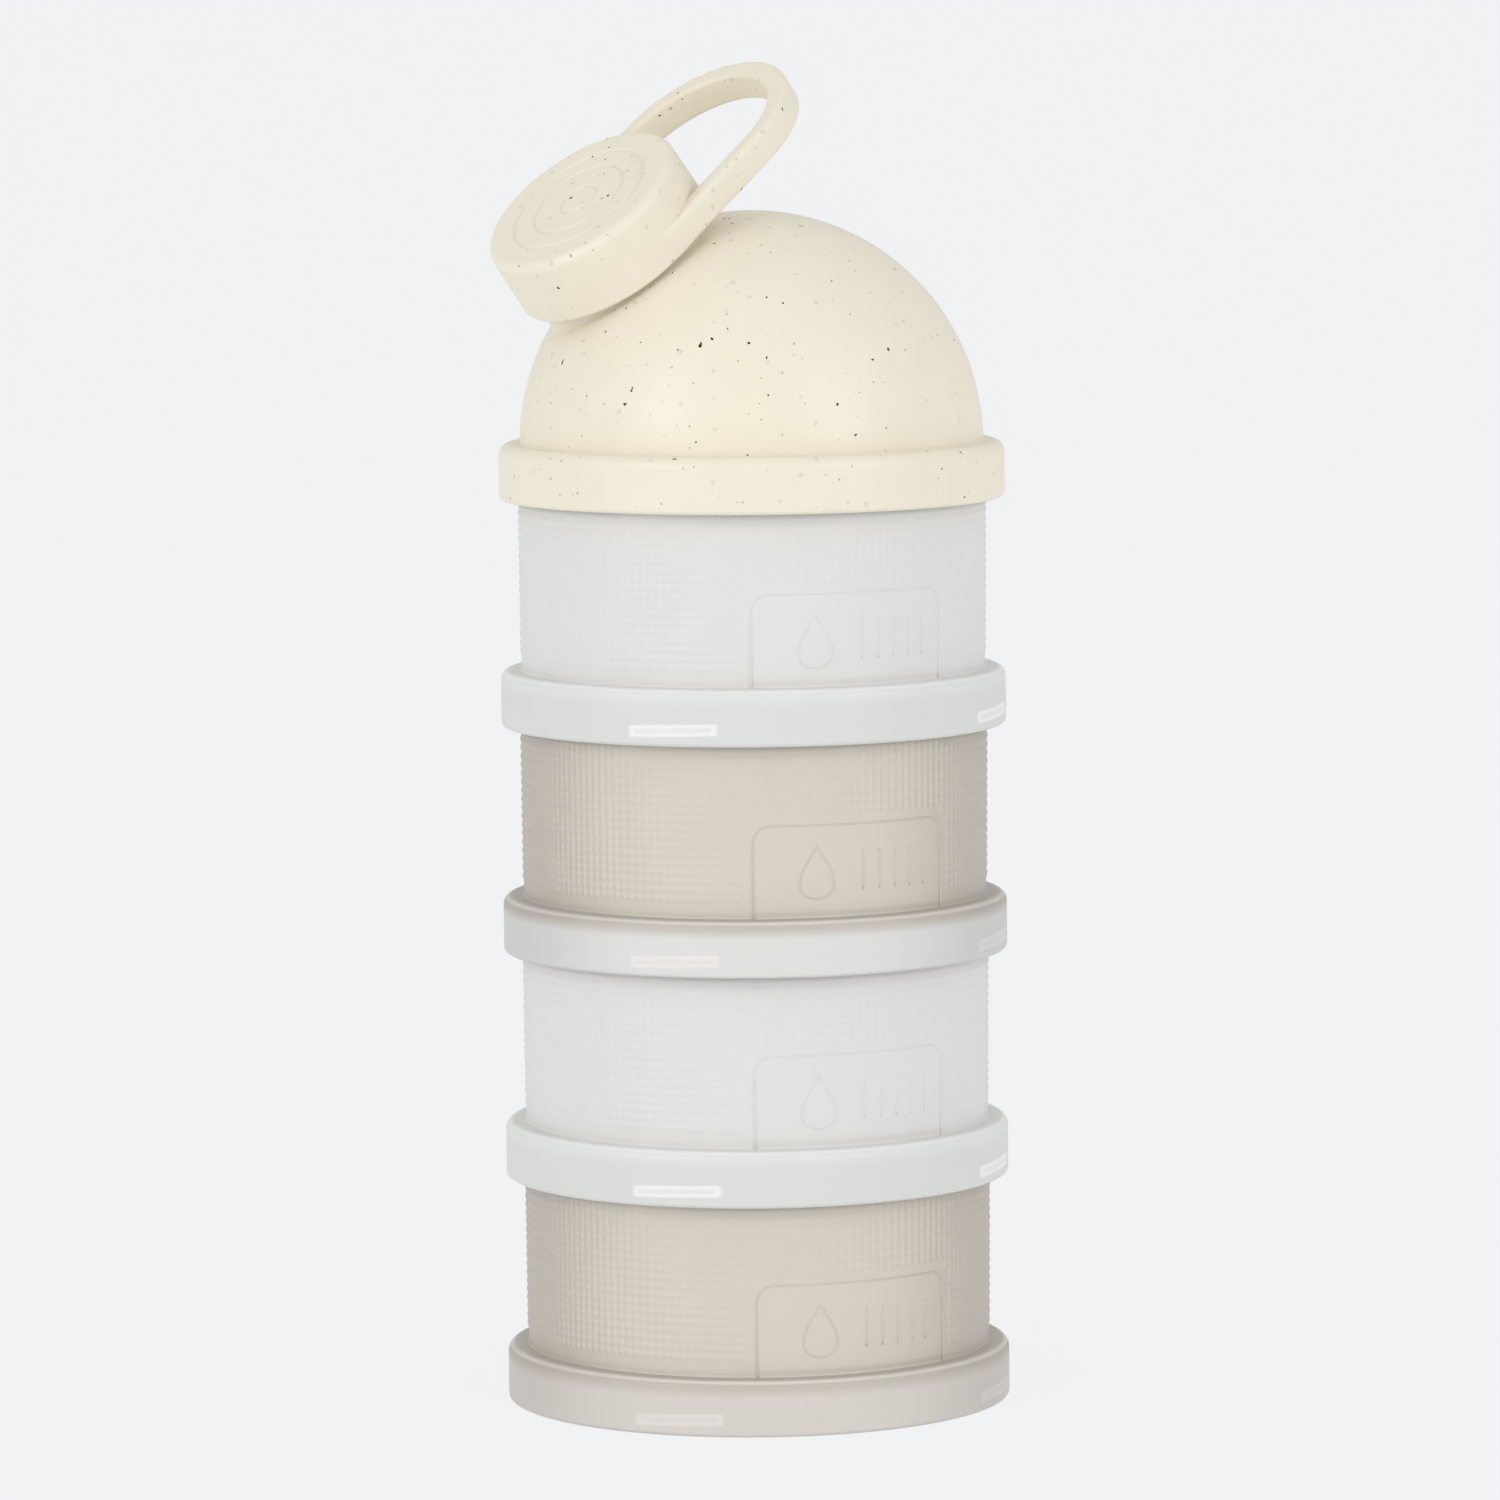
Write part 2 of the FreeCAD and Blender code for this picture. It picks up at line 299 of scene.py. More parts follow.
def lathe(profile, angles):
    """Surface of revolution: (r cos a, r sin a, z) for each profile point and angle."""
    r = profile[:, :1]
    z = np.broadcast_to(profile[:, 1:], (len(profile), len(angles)))
    return np.stack([r * np.cos(angles), r * np.sin(angles), z], axis=-1)


def ring_quads(rows, columns, start=0, close_rows=False):
    """Quads of a grid whose columns close on themselves; rows too, if asked."""
    index = start + np.arange(rows * columns).reshape(rows, columns)
    if close_rows:
        index = np.vstack([index, index[:1]])
    right = np.roll(index, -1, axis=1)
    return np.stack([index[:-1], index[1:], right[1:], right[:-1]], axis=-1).reshape(-1, 4)


def fan(pole, ring, outward):
    """Triangles from a pole to the ring of points round it."""
    after = np.roll(ring, -1)
    first, second = (ring, after) if outward else (after, ring)
    return np.stack([np.full(len(ring), pole), first, second], axis=-1)


def stitch(coarse, fine, coarse_first):
    """Polygons between a coarse ring and a ring with a whole number of points for each."""
    share = len(fine) // len(coarse)
    closed = np.append(fine, fine[0])
    strips = closed[np.arange(len(coarse))[:, None] * share + np.arange(share + 1)]
    ends = np.stack([np.roll(coarse, -1), coarse], axis=-1)
    if coarse_first:
        return np.hstack([strips, ends])
    return np.hstack([strips[:, ::-1], ends[:, ::-1]])


def add_piece(name, points, polygons, material, body, replaced=()):
    """Object from one array of points and arrays of equal-sided polygons, riding on a body."""
    mesh = bpy.data.meshes.new(name)
    points = np.ascontiguousarray(points, dtype=np.float32)
    corners = np.concatenate([p.ravel() for p in polygons]).astype(np.int32)
    sides = np.concatenate([np.full(len(p), p.shape[1]) for p in polygons])
    starts = np.concatenate([[0], np.cumsum(sides)[:-1]]).astype(np.int32)
    mesh.vertices.add(len(points))
    mesh.vertices.foreach_set("co", points.ravel())
    mesh.loops.add(len(corners))
    mesh.loops.foreach_set("vertex_index", corners)
    mesh.polygons.add(len(starts))
    mesh.polygons.foreach_set("loop_start", starts)
    mesh.polygons.foreach_set("use_smooth", np.ones(len(starts), dtype=bool))
    mesh.update(calc_edges=True)
    if mesh.validate():
        raise ValueError("%s had bad faces" % name)
    mesh.materials.append(material)
    piece = bpy.data.objects.new(name, mesh)
    bpy.context.scene.collection.objects.link(piece)
    if body:
        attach(piece, body)
    if replaced:
        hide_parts(*replaced)
    return piece


def joined(parts):
    """Points and polygons of several closed surfaces as one set."""
    points = []
    polygons = []
    start = 0
    for part_points, part_polygons in parts:
        points.append(part_points)
        polygons += [p + start for p in part_polygons]
        start += len(part_points)
    return np.concatenate(points), polygons


def tube(grid):
    """Closed surface from rings of points (stations, points of a ring, 3), with a fan at each end.

    Each ring runs clockwise as seen by someone who looks along the path.
    """
    stations, ring, _ = grid.shape
    points = np.concatenate([grid.reshape(-1, 3), grid[[0, -1]].mean(axis=1)])
    first = np.arange(ring)
    last = first + (stations - 1) * ring
    return points, [ring_quads(stations, ring)[:, ::-1],
                    fan(stations * ring, first, False), fan(stations * ring + 1, last, True)]


def bar_section(width, height, rounding, steps=3):
    """Rounded rectangle about (0, 0), clockwise from its top left, as (across, up) points.

    width may be an array, for a section that changes along the path.
    """
    corner = np.arange(4).repeat(steps + 1)
    turn = TURN / 4 * (np.tile(np.linspace(0, 1, steps + 1), 4) + corner)
    sign_across = np.array([-1, 1, 1, -1])[corner]
    sign_up = np.array([1, 1, -1, -1])[corner]
    width = np.asarray(width, dtype=float)[..., None]
    rounding = np.minimum(rounding, 0.45 * np.minimum(width, height))
    across = sign_across * (width / 2 - rounding) - rounding * np.cos(turn)
    up = sign_up * (height / 2 - rounding) + rounding * np.sin(turn)
    return across, up


def thread_bars(r_in, r_out, z, height, from_deg, span_deg, climb=LEAD):
    """Bars inside a collar or outside a neck, one per start.

    A rounded rectangle between two radii swept along a helix: z rises by climb in a full turn.
    """
    across, up = bar_section(r_out - r_in, height, 0.25 * MM)
    along = np.radians(np.linspace(0, span_deg, max(3, int(span_deg / 1.5))))[:, None]
    radius = (r_in + r_out) / 2 + across
    level = z + height / 2 + climb * along / TURN + up
    bars = []
    for start in range(STARTS):
        angle = math.radians(from_deg) + start * TURN / STARTS + along
        grid = np.stack(np.broadcast_arrays(radius * np.cos(angle), radius * np.sin(angle), level), -1)
        bars.append(tube(grid))
    return bars


def wrapped_ridge(angle, level, base_r, half_width, closed=False):
    """Half-round ridge on a cup's wall along a path given by angle and level.

    A ring of points of radius half_width is swept along the path, in the plane of the wall's
    normal and of the path's side direction, so that half of it stands out of the wall.
    """
    if closed:
        angle = np.append(angle, angle[0])
        level = np.append(level, level[0])
    out = np.stack([np.cos(angle), np.sin(angle), np.zeros_like(angle)], -1)
    path = out * base_r + np.stack([np.zeros_like(level), np.zeros_like(level), level], -1)
    if closed:
        ahead = unit(np.roll(path[:-1], -1, axis=0) - np.roll(path[:-1], 1, axis=0))
        ahead = np.vstack([ahead, ahead[:1]])
    else:
        ahead = unit(np.gradient(path, axis=0))
    side = unit(np.cross(out, ahead))
    turn = np.arange(10) * TURN / 10
    grid = (path[:, None] + half_width * (np.cos(turn)[:, None] * out[:, None]
                                          - np.sin(turn)[:, None] * side[:, None]))
    if closed:
        stations = len(path) - 1
        points = grid[:-1].reshape(-1, 3)
        return points, [ring_quads(stations, 10, close_rows=True)[:, ::-1]]
    return tube(grid)


def collar_profile(ledge_round, foot):
    """Profile from the foot of the wall out over the ledge, down the skirt and back under it."""
    return [
        foot,
        (foot[0], LEDGE_TOP, 0.3 * MM),
        (COLLAR_R, LEDGE_TOP, ledge_round),
        (COLLAR_R, 0, 0.8 * MM),
        (COLLAR_BORE, 0, 0.3 * MM),
        (COLLAR_BORE, LEDGE_UNDER, 0.15 * MM),
        (GROOVE_OUT, LEDGE_UNDER, 0.1 * MM),
        (GROOVE_OUT, GROOVE_TOP, 0.1 * MM),
        (GROOVE_IN, GROOVE_TOP, 0.1 * MM),
        (GROOVE_IN, LEDGE_UNDER, 0.1 * MM),
    ]


def resampled(path, spacing):
    """Points at an even spacing along an open 2-D path."""
    lengths = np.append(0, np.cumsum(np.linalg.norm(np.diff(path, axis=0), axis=1)))
    even = np.linspace(0, lengths[-1], int(lengths[-1] / spacing) + 1)
    return np.stack([np.interp(even, lengths, path[:, k]) for k in (0, 1)], -1)


def from_cap_axis(points):
    """Points of the cap's own frame, where z = 0 is its rim and x points uphill, put in place."""
    side = unit(np.cross(CAP_AXIS, (0, 0, 1)))
    return CAP_CENTRE + points @ np.array([np.cross(side, CAP_AXIS), side, CAP_AXIS])


# ---------------------------------------------------------------- materials

def node(tree, kind, inputs=(), **settings):
    """New node with its settings; an input is another node's output or a constant."""
    made = tree.nodes.new(kind)
    for name, value in settings.items():
        setattr(made, name, value)
    for name, value in dict(inputs).items():
        if isinstance(value, bpy.types.NodeSocket):
            tree.links.new(value, made.inputs[name])
        else:
            made.inputs[name].default_value = value
    return made


def new_material(name):
    """Empty node material, its tree and its Principled shader, wired to the output."""
    material = bpy.data.materials.new(name)
    material.use_nodes = True
    tree = material.node_tree
    tree.nodes.clear()
    shader = node(tree, "ShaderNodeBsdfPrincipled")
    output = node(tree, "ShaderNodeOutputMaterial")
    tree.links.new(shader.outputs["BSDF"], output.inputs["Surface"])
    return material, tree, shader


def add_math(tree, operation, *values):
    """Output of a chain of one maths operation on sockets and numbers."""
    return node(tree, "ShaderNodeMath", enumerate(values), operation=operation).outputs[0]


def ramp(tree, value, low, high, at_low=0.0, at_high=1.0):
    """Smooth step of a value from at_low to at_high."""
    made = node(tree, "ShaderNodeMapRange", {
        "Value": value, "From Min": low, "From Max": high, "To Min": at_low, "To Max": at_high},
        interpolation_type="SMOOTHSTEP")
    return made.outputs["Result"]


def mixed(tree, factor, first, second):
    """Colour between two others."""
    made = node(tree, "ShaderNodeMix", {0: factor, 6: first, 7: second}, data_type="RGBA")
    return made.outputs[2]


def frosted_plastic(name, wall, skirt, edge, crest_highlight, lug, clarity):
    """Injection-moulded polypropylene, frosted by the texture of the mould.

    The collar's colours hold painted light and shade: the skirt's colour stands for the light
    through it and through what stands behind it, a band under the ledge's top is painted in the
    light and shade of its thick edge, the ledge's rounded top carries a painted highlight, and a
    pale bar is painted where each hidden lug lets light through the skirt. The plastic acts as glass
    more where it is seen edge-on; clarity holds that share face-on and edge-on.
    """
    material, tree, shader = new_material(name)
    place = node(tree, "ShaderNodeTexCoord").outputs["Object"]
    axes = node(tree, "ShaderNodeSeparateXYZ", {0: place}).outputs
    level = add_math(tree, "MODULO", axes["Z"], PITCH)
    flat = node(tree, "ShaderNodeCombineXYZ", {"X": axes["X"], "Y": axes["Y"]}).outputs[0]
    radius = node(tree, "ShaderNodeVectorMath", {0: flat}, operation="LENGTH").outputs["Value"]
    on_skirt = ramp(tree, radius, COLLAR_R - 1.5 * MM, COLLAR_R - 0.7 * MM)
    # Painted light and shade in a band under the ledge's top, for the ledge's thick edge.
    on_edge = add_math(tree, "MULTIPLY", on_skirt,
                       ramp(tree, level, LEDGE_UNDER - 1.5 * MM, LEDGE_UNDER + 0.8 * MM))
    # Painted highlight along the ledge's rounded top.
    on_crest = add_math(tree, "MULTIPLY", on_skirt,
                        ramp(tree, level, LEDGE_TOP - 0.8 * MM, LEDGE_TOP - 0.35 * MM))
    # Painted light: a pale bar with a fainter core over each hidden lug, where it shows through the skirt.
    turn = add_math(tree, "ARCTAN2", axes["Y"], axes["X"])
    from_lug = add_math(tree, "SUBTRACT", turn, math.radians(LUG_FROM) - TURN)
    along = add_math(tree, "MODULO", from_lug, TURN / STARTS)
    half_span = math.radians(LUG_SPAN) / 2
    past_middle = add_math(tree, "ABSOLUTE", add_math(tree, "SUBTRACT", along, half_span))
    rise = add_math(tree, "MULTIPLY", along, LUG_LIGHT_LEAD / TURN)
    over_lug = add_math(tree, "SUBTRACT", add_math(tree, "SUBTRACT", level, LUG_LIGHT_Z), rise)
    off_lug = add_math(tree, "ABSOLUTE", over_lug)
    bar_end = half_span - LUG_LIGHT_END_FADE
    core_end = bar_end - LUG_LIGHT_END_FADE
    bar = add_math(tree, "MULTIPLY", ramp(tree, past_middle, half_span, bar_end),
                   ramp(tree, off_lug, LUG_LIGHT_BAR + LUG_LIGHT_FADE, LUG_LIGHT_BAR))
    core = add_math(tree, "MULTIPLY", ramp(tree, past_middle, bar_end, core_end),
                    ramp(tree, off_lug, LUG_LIGHT_CORE + LUG_LIGHT_FADE, LUG_LIGHT_CORE))
    on_lug = add_math(tree, "MULTIPLY", on_skirt, add_math(
        tree, "SUBTRACT", bar, add_math(tree, "MULTIPLY", core, CORE_FAINTER)))
    # Painted light: the skirt's colour stands for the light through it and through the neck that stands
    # behind it.
    colour = mixed(tree, on_skirt, wall, skirt)
    colour = mixed(tree, on_edge, colour, edge)
    colour = mixed(tree, on_crest, colour, crest_highlight)
    colour = mixed(tree, on_lug, colour, lug)
    cloud = node(tree, "ShaderNodeTexNoise", {"Vector": place, "Scale": 1 / (14 * MM), "Detail": 2.0})
    shade = ramp(tree, cloud.outputs["Fac"], 0.3, 0.7, 0.985, 1.0)
    tint = node(tree, "ShaderNodeVectorMath", {0: colour, "Scale": shade}, operation="SCALE")
    frost = node(tree, "ShaderNodeTexNoise", {"Vector": place, "Scale": 1 / (0.35 * MM), "Detail": 1.0})
    grain = node(tree, "ShaderNodeBump", {
        "Height": frost.outputs["Fac"], "Strength": 0.15, "Distance": 0.02 * MM})
    tree.links.new(tint.outputs["Vector"], shader.inputs["Base Color"])
    tree.links.new(grain.outputs["Normal"], shader.inputs["Normal"])
    shader.inputs["Roughness"].default_value = 0.5
    shader.inputs["IOR"].default_value = 1.49
    facing = node(tree, "ShaderNodeLayerWeight", {"Blend": 0.5}).outputs["Facing"]
    glassy = add_math(tree, "MULTIPLY", ramp(tree, facing, 0.1, 0.6, *clarity),
                      ramp(tree, on_skirt, 0, 1, 1.0, 0.7))
    tree.links.new(glassy, shader.inputs["Transmission Weight"])
    return material


def speckled_plastic(cream, speck):
    """Satin moulded polypropylene with plant fibres through it: dark flecks and fainter crumbs.

    A fleck is where the surface cuts the small ball round a feature point of a 3-D Voronoi
    pattern, pulled out of round by noise.
    """
    material, tree, shader = new_material(SPECKLED)
    place = node(tree, "ShaderNodeTexCoord").outputs["Object"]
    wobble = node(tree, "ShaderNodeTexNoise", {"Vector": place, "Scale": 1 / (0.8 * MM), "Detail": 2.0})
    centred = node(tree, "ShaderNodeVectorMath", {0: wobble.outputs["Color"], 1: (0.5, 0.5, 0.5)},
                   operation="SUBTRACT")
    pull = node(tree, "ShaderNodeVectorMath", {0: centred.outputs[0], "Scale": 0.8 * MM},
                operation="SCALE")
    moved = node(tree, "ShaderNodeVectorMath", {0: place, 1: pull.outputs[0]}, operation="ADD").outputs[0]
    mottle = node(tree, "ShaderNodeTexNoise", {"Vector": place, "Scale": 1 / (6 * MM), "Detail": 3.0})
    warm = tuple(c * 0.985 for c in cream[:3]) + (1.0,)
    colour = mixed(tree, ramp(tree, mottle.outputs["Fac"], 0.35, 0.65), cream, warm)
    tan = linear("A99C84")
    grey = linear("C2BCAB")
    flecks = (((1, 1, 1), 2.8 * MM, 0.55 * MM, grey, 0.4), ((1, 1, 1), 1.9 * MM, 0.25 * MM, tan, 0.8),
              ((1, 1, 1), 3.0 * MM, 0.27 * MM, speck, 1.0), ((0.4, 1, 0.8), 3.8 * MM, 0.30 * MM, speck, 1.0),
              ((1, 1, 0.4), 4.0 * MM, 0.30 * MM, speck, 1.0))
    for stretch, cell, reach, tone, strength in flecks:
        drawn = node(tree, "ShaderNodeVectorMath", {0: moved, 1: stretch}, operation="MULTIPLY").outputs[0]
        pattern = node(tree, "ShaderNodeTexVoronoi", {"Vector": drawn, "Scale": 1 / cell})
        lot = node(tree, "ShaderNodeSeparateColor", {0: pattern.outputs["Color"]}).outputs[0]
        size = ramp(tree, lot, 0.15, 1.0, 0.2 * reach / cell, reach / cell)
        depth = add_math(tree, "SUBTRACT", size, pattern.outputs["Distance"])
        mask = ramp(tree, depth, 0, 0.05 * MM / cell, 0, strength)
        colour = mixed(tree, mask, colour, tone)
    tree.links.new(colour, shader.inputs["Base Color"])
    grain_noise = node(tree, "ShaderNodeTexNoise", {"Vector": place, "Scale": 1 / (0.4 * MM), "Detail": 2.0})
    grain = node(tree, "ShaderNodeBump", {
        "Height": grain_noise.outputs["Fac"], "Strength": 0.12, "Distance": 0.02 * MM})
    tree.links.new(grain.outputs["Normal"], shader.inputs["Normal"])
    shader.inputs["Roughness"].default_value = 0.4
    shader.inputs["IOR"].default_value = 1.49
    return material


def silicone():
    """Moulded translucent white silicone, matt and a little dusty."""
    material, tree, shader = new_material("Silicone_moulded_white")
    place = node(tree, "ShaderNodeTexCoord").outputs["Object"]
    dust = node(tree, "ShaderNodeTexNoise", {"Vector": place, "Scale": 1 / (2 * MM), "Detail": 3.0})
    colour = mixed(tree, dust.outputs["Fac"], linear("E6E5E0"), linear("DEDCD6"))
    tree.links.new(colour, shader.inputs["Base Color"])
    rough = ramp(tree, dust.outputs["Fac"], 0.3, 0.7, 0.55, 0.65)
    tree.links.new(rough, shader.inputs["Roughness"])
    shader.inputs["IOR"].default_value = 1.41
    return material


def backdrop_paper(colour):
    """Seamless studio paper, lit from behind so that it stays even, with a trace of shadow."""
    material = bpy.data.materials.new("Studio_paper")
    material.use_nodes = True
    tree = material.node_tree
    tree.nodes.clear()
    glow = node(tree, "ShaderNodeEmission", {"Color": colour, "Strength": PAPER_GLOW})
    matt = node(tree, "ShaderNodeBsdfDiffuse", {"Color": colour})
    both = node(tree, "ShaderNodeMixShader", {
        0: PAPER_MATT, 1: glow.outputs[0], 2: matt.outputs[0]})
    output = node(tree, "ShaderNodeOutputMaterial")
    tree.links.new(both.outputs[0], output.inputs["Surface"])
    return material


# ---------------------------------------------------------------- powder cups

def panel_distance(angle, level, settings):
    """Distance outside the panel's outline along the wall; it is negative inside."""
    middle = (settings.panel_from + settings.panel_to) / 2
    half = (settings.panel_to - settings.panel_from) / 2 * WALL_FOOT_R
    across = np.abs((angle - middle + math.pi) % TURN - math.pi) * WALL_FOOT_R
    over = across - (half - PANEL_CORNER)
    above = level - (settings.panel_top - PANEL_CORNER)
    corner = np.hypot(np.maximum(over, 0), np.maximum(above, 0))
    return corner + np.minimum(np.maximum(over, above), 0) - PANEL_CORNER


def textured_wall(angles, pitch_angle, settings):
    """Rings of the outer wall, from under the collar above down to the ledge.

    The radius is the wall's plus relief * sin^2(pi u) * sin^2(pi v), where u and v count bumps
    round and up, in every cell that lies clear of the panel. The panel's own face stands a
    little proud.
    """
    pitch = settings.texture_pitch
    foot = settings.texture_foot
    rows = int((PITCH - foot) / pitch)
    plain = np.linspace(foot, LEDGE_TOP + FOOT_RUN, 5)[1:]
    level = np.append(np.linspace(foot + rows * pitch, foot, 4 * rows + 1), plain)[:, None]
    u = angles / pitch_angle
    v = (level - foot) / pitch
    cell_angle = (np.floor(u + 1e-6) + 0.5) * pitch_angle
    cell_level = foot + (np.floor(v + 1e-6) + 0.5) * pitch
    clear = panel_distance(cell_angle, cell_level, settings) > PANEL_MARGIN * pitch
    bump = (np.sin(math.pi * u) * np.sin(math.pi * v)) ** 2 * (clear & (level > foot))
    inside = np.clip(0.5 - panel_distance(angles, level, settings) / PANEL_EDGE, 0, 1)
    inside[-1] = 0
    wall = np.interp(level, (LEDGE_TOP, PITCH), (WALL_FOOT_R, WALL_HEAD_R))
    radius = wall + settings.texture_relief * bump + PANEL_RISE * inside
    return np.stack([radius * np.cos(angles), radius * np.sin(angles),
                     np.broadcast_to(level, radius.shape)], axis=-1)


def cup_shell(settings):
    """Shell of the bottom cup.

    Surface of revolution, from the middle of the floor up over the rim, down the outer wall,
    round the collar and back to the middle of the underside. The wall has four columns for each
    one elsewhere.
    """
    bumps = round(TURN * WALL_HEAD_R / settings.texture_pitch)
    coarse = np.arange(bumps) * TURN / bumps
    wall = textured_wall(np.arange(4 * bumps) * TURN / (4 * bumps), TURN / bumps, settings)
    wall_top = wall[0, 0, 2] + SEAM
    inner = lathe(rounded([
        (POLE_R, LEDGE_TOP),
        (CUP_BORE, LEDGE_TOP, 3 * MM),
        (CUP_BORE, NECK_TOP, 0.5 * MM),
        (NECK_R, NECK_TOP, 0.5 * MM),
        (NECK_R, PITCH, 0.04 * MM),
        (WALL_HEAD_R, PITCH, 0.04 * MM),
        (WALL_HEAD_R, wall_top),
    ]), coarse)
    foot = (WALL_FOOT_R, LEDGE_TOP + FOOT_RUN - SEAM)
    outer = lathe(rounded(collar_profile(1.6 * MM, foot) + [(POLE_R, LEDGE_UNDER)]), coarse)
    sizes = [inner.shape[0] * bumps, wall.shape[0] * 4 * bumps, outer.shape[0] * bumps]
    starts = np.append(0, np.cumsum(sizes))
    points = np.concatenate([inner.reshape(-1, 3), wall.reshape(-1, 3), outer.reshape(-1, 3),
                             [(0, 0, LEDGE_TOP), (0, 0, LEDGE_UNDER)]])
    ring = np.arange(bumps)
    fine = np.arange(4 * bumps)
    polygons = [
        fan(starts[3], ring, True),
        ring_quads(inner.shape[0], bumps),
        stitch(starts[1] - bumps + ring, starts[1] + fine, True),
        ring_quads(wall.shape[0], 4 * bumps, starts[1]),
        stitch(starts[2] + ring, starts[2] - 4 * bumps + fine, False),
        ring_quads(outer.shape[0], bumps, starts[2]),
        fan(starts[3] + 1, starts[3] - bumps + ring, False),
    ]
    return points, polygons


def panel_relief(settings):
    """Raised lines of the panel: its outline, a drop, and five upright dose ticks.

    The drop's outline is (sin t * sin(t / 2)^1.5, cos t), wrapped on the wall.
    """
    middle = (settings.panel_from + settings.panel_to) / 2
    half = (settings.panel_to - settings.panel_from) / 2 * WALL_FOOT_R
    ridge_r = WALL_FOOT_R + PANEL_RISE + RIDGE_LIFT
    frame_path = resampled(rounded([
        (-half, LEDGE_TOP - 0.2 * MM),
        (-half, settings.panel_top, PANEL_CORNER),
        (half, settings.panel_top, PANEL_CORNER),
        (half, LEDGE_TOP - 0.2 * MM),
    ]), 0.6 * MM)
    lines = [wrapped_ridge(middle + frame_path[:, 0] / WALL_FOOT_R, frame_path[:, 1],
                           ridge_r, OUTLINE_RIDGE)]
    t = np.arange(72) * TURN / 72
    side = DROP_HALF_WIDTH * np.sin(t) * np.sin(t / 2) ** 1.5
    lines.append(wrapped_ridge(math.radians(DROP_ANGLE) - side / WALL_FOOT_R,
                               MARK_LEVEL + DROP_HALF_HEIGHT * np.cos(t),
                               ridge_r, MARK_RIDGE, closed=True))
    for angle in np.radians(np.linspace(TICKS_FROM, TICKS_TO, 5)):
        level = MARK_LEVEL + np.linspace(-TICK_HALF, TICK_HALF, 8)
        lines.append(wrapped_ridge(np.full(8, angle), level, ridge_r, MARK_RIDGE))
    return lines


def cup_parts(settings):
    """Shell, lugs, ramps, stops and panel lines of the bottom cup."""
    lead_in = RAMP_LEAD_IN * LEAD / 360
    ramp_z = PITCH + LUG_Z + LUG_H + 0.3 * MM - lead_in
    return joined(
        [cup_shell(settings)]
        + thread_bars(LUG_R, COLLAR_BORE + EMBED, LUG_Z, LUG_H, LUG_FROM, LUG_SPAN)
        + thread_bars(NECK_R - EMBED, RAMP_R, ramp_z, RAMP_H, LUG_FROM - RAMP_LEAD_IN,
                      RAMP_LEAD_IN + RAMP_SPAN)
        + thread_bars(NECK_R - EMBED, RAMP_R, PITCH + STOP_Z, STOP_H, LUG_FROM - RAMP_LEAD_IN,
                      STOP_SPAN, climb=0)
        + panel_relief(settings))


class DISPENSER_OT_cups(bpy.types.Operator):
    """Adds the four powder cups: two smoky taupe and two natural, from the bottom"""
    bl_idname = "dispenser.add_cups"
    bl_label = "Add powder cups"

    def execute(self, context):
        settings = context.scene.dispenser_cups
        # Two copies of the taupe plastic with different painted light: the upper taupe cup's skirt and lug
        # bars are lighter for the natural cup's neck behind its collar, and the natural cups' skirts are
        # darker for the taupe necks behind theirs.
        foot = frosted_plastic("Polypropylene_frosted_taupe_foot", settings.taupe, linear("D8D1CA"),
                               linear("C6BDB2"), linear("E6E1DA"), linear("E2DDD7"), (0.13, 0.36))
        taupe = frosted_plastic("Polypropylene_frosted_taupe", settings.taupe, linear("E0E0DB"),
                                linear("C6BEB3"), linear("E6E2DB"), linear("ECEAE5"), (0.13, 0.36))
        clear = frosted_plastic("Polypropylene_frosted_natural", settings.clear, linear("DFE0DB"),
                                linear("E6E7E3"), linear("F0F0EE"), linear("F4F5F1"), (0.15, 0.15))
        finishes = ((foot, "taupe_plastic"), (clear, "clear_plastic"),
                    (taupe, "taupe_plastic"), (clear, "clear_plastic"))
        points, polygons = cup_parts(settings)
        for i, (name, (material, slot)) in enumerate(zip(CUPS, finishes)):
            lifted = points + np.array([0, 0, i * PITCH])
            cup = add_piece("moulded_" + name, lifted, polygons, material, name, [name])
        return {"FINISHED"}


# ---------------------------------------------------------------- pouring dome

def on_spout(radius, angles, height):
    """Ring of points about the spout's axis, at one height or a height for each angle."""
    return from_cap_axis(np.stack(np.broadcast_arrays(
        radius * np.cos(angles), radius * np.sin(angles), height), axis=-1))


def spout_meets_sphere(radius, angles, sphere_r):
    """Height on each line of the spout's tube where it leaves a sphere about the dome's centre."""
    centre = np.array([0, 0, DOME_CENTRE_Z])
    base = on_spout(radius, angles, 0) - centre
    along = base @ CAP_AXIS
    return -along + np.sqrt(along ** 2 - (base ** 2).sum(axis=-1) + sphere_r ** 2)


def blended(start, corner, end, steps=6):
    """Quadratic Bezier curves from one ring to another, with the corner ring as control points."""
    t = np.linspace(0, 1, steps)[:, None, None]
    return (1 - t) ** 2 * start + 2 * t * (1 - t) * corner + t ** 2 * end


def over_dome(turn, tube_r, sphere_r, foot_rise, soften, rows):
    """Rings from the spout's tube over the dome's sphere to a level circle near its foot.

    Each column follows the great circle from the corner to the foot circle's point at the same
    turn, and the corner itself is softened by a Bezier curve.
    """
    centre = np.array([0, 0, DOME_CENTRE_Z])
    meet = spout_meets_sphere(tube_r, turn, sphere_r)
    corner = on_spout(tube_r, turn, meet)
    tilt = math.asin(foot_rise / sphere_r)
    level_turn = turn + CAP_HEADING
    foot = np.stack([np.cos(level_turn) * math.cos(tilt), np.sin(level_turn) * math.cos(tilt),
                     np.full_like(turn, math.sin(tilt))], axis=-1)
    start = (corner - centre) / sphere_r
    sweep = np.arccos((start * foot).sum(axis=-1))
    first = soften / (sweep * sphere_r)
    t = first + (1 - first) * np.linspace(0, 1, rows)[:, None]
    sheet = centre + sphere_r * (np.sin((1 - t) * sweep)[..., None] * start
                                 + np.sin(t * sweep)[..., None] * foot) / np.sin(sweep)[:, None]
    edge = blended(on_spout(tube_r, turn, meet + soften), corner, sheet[0])
    return np.concatenate([edge[:-1], sheet])


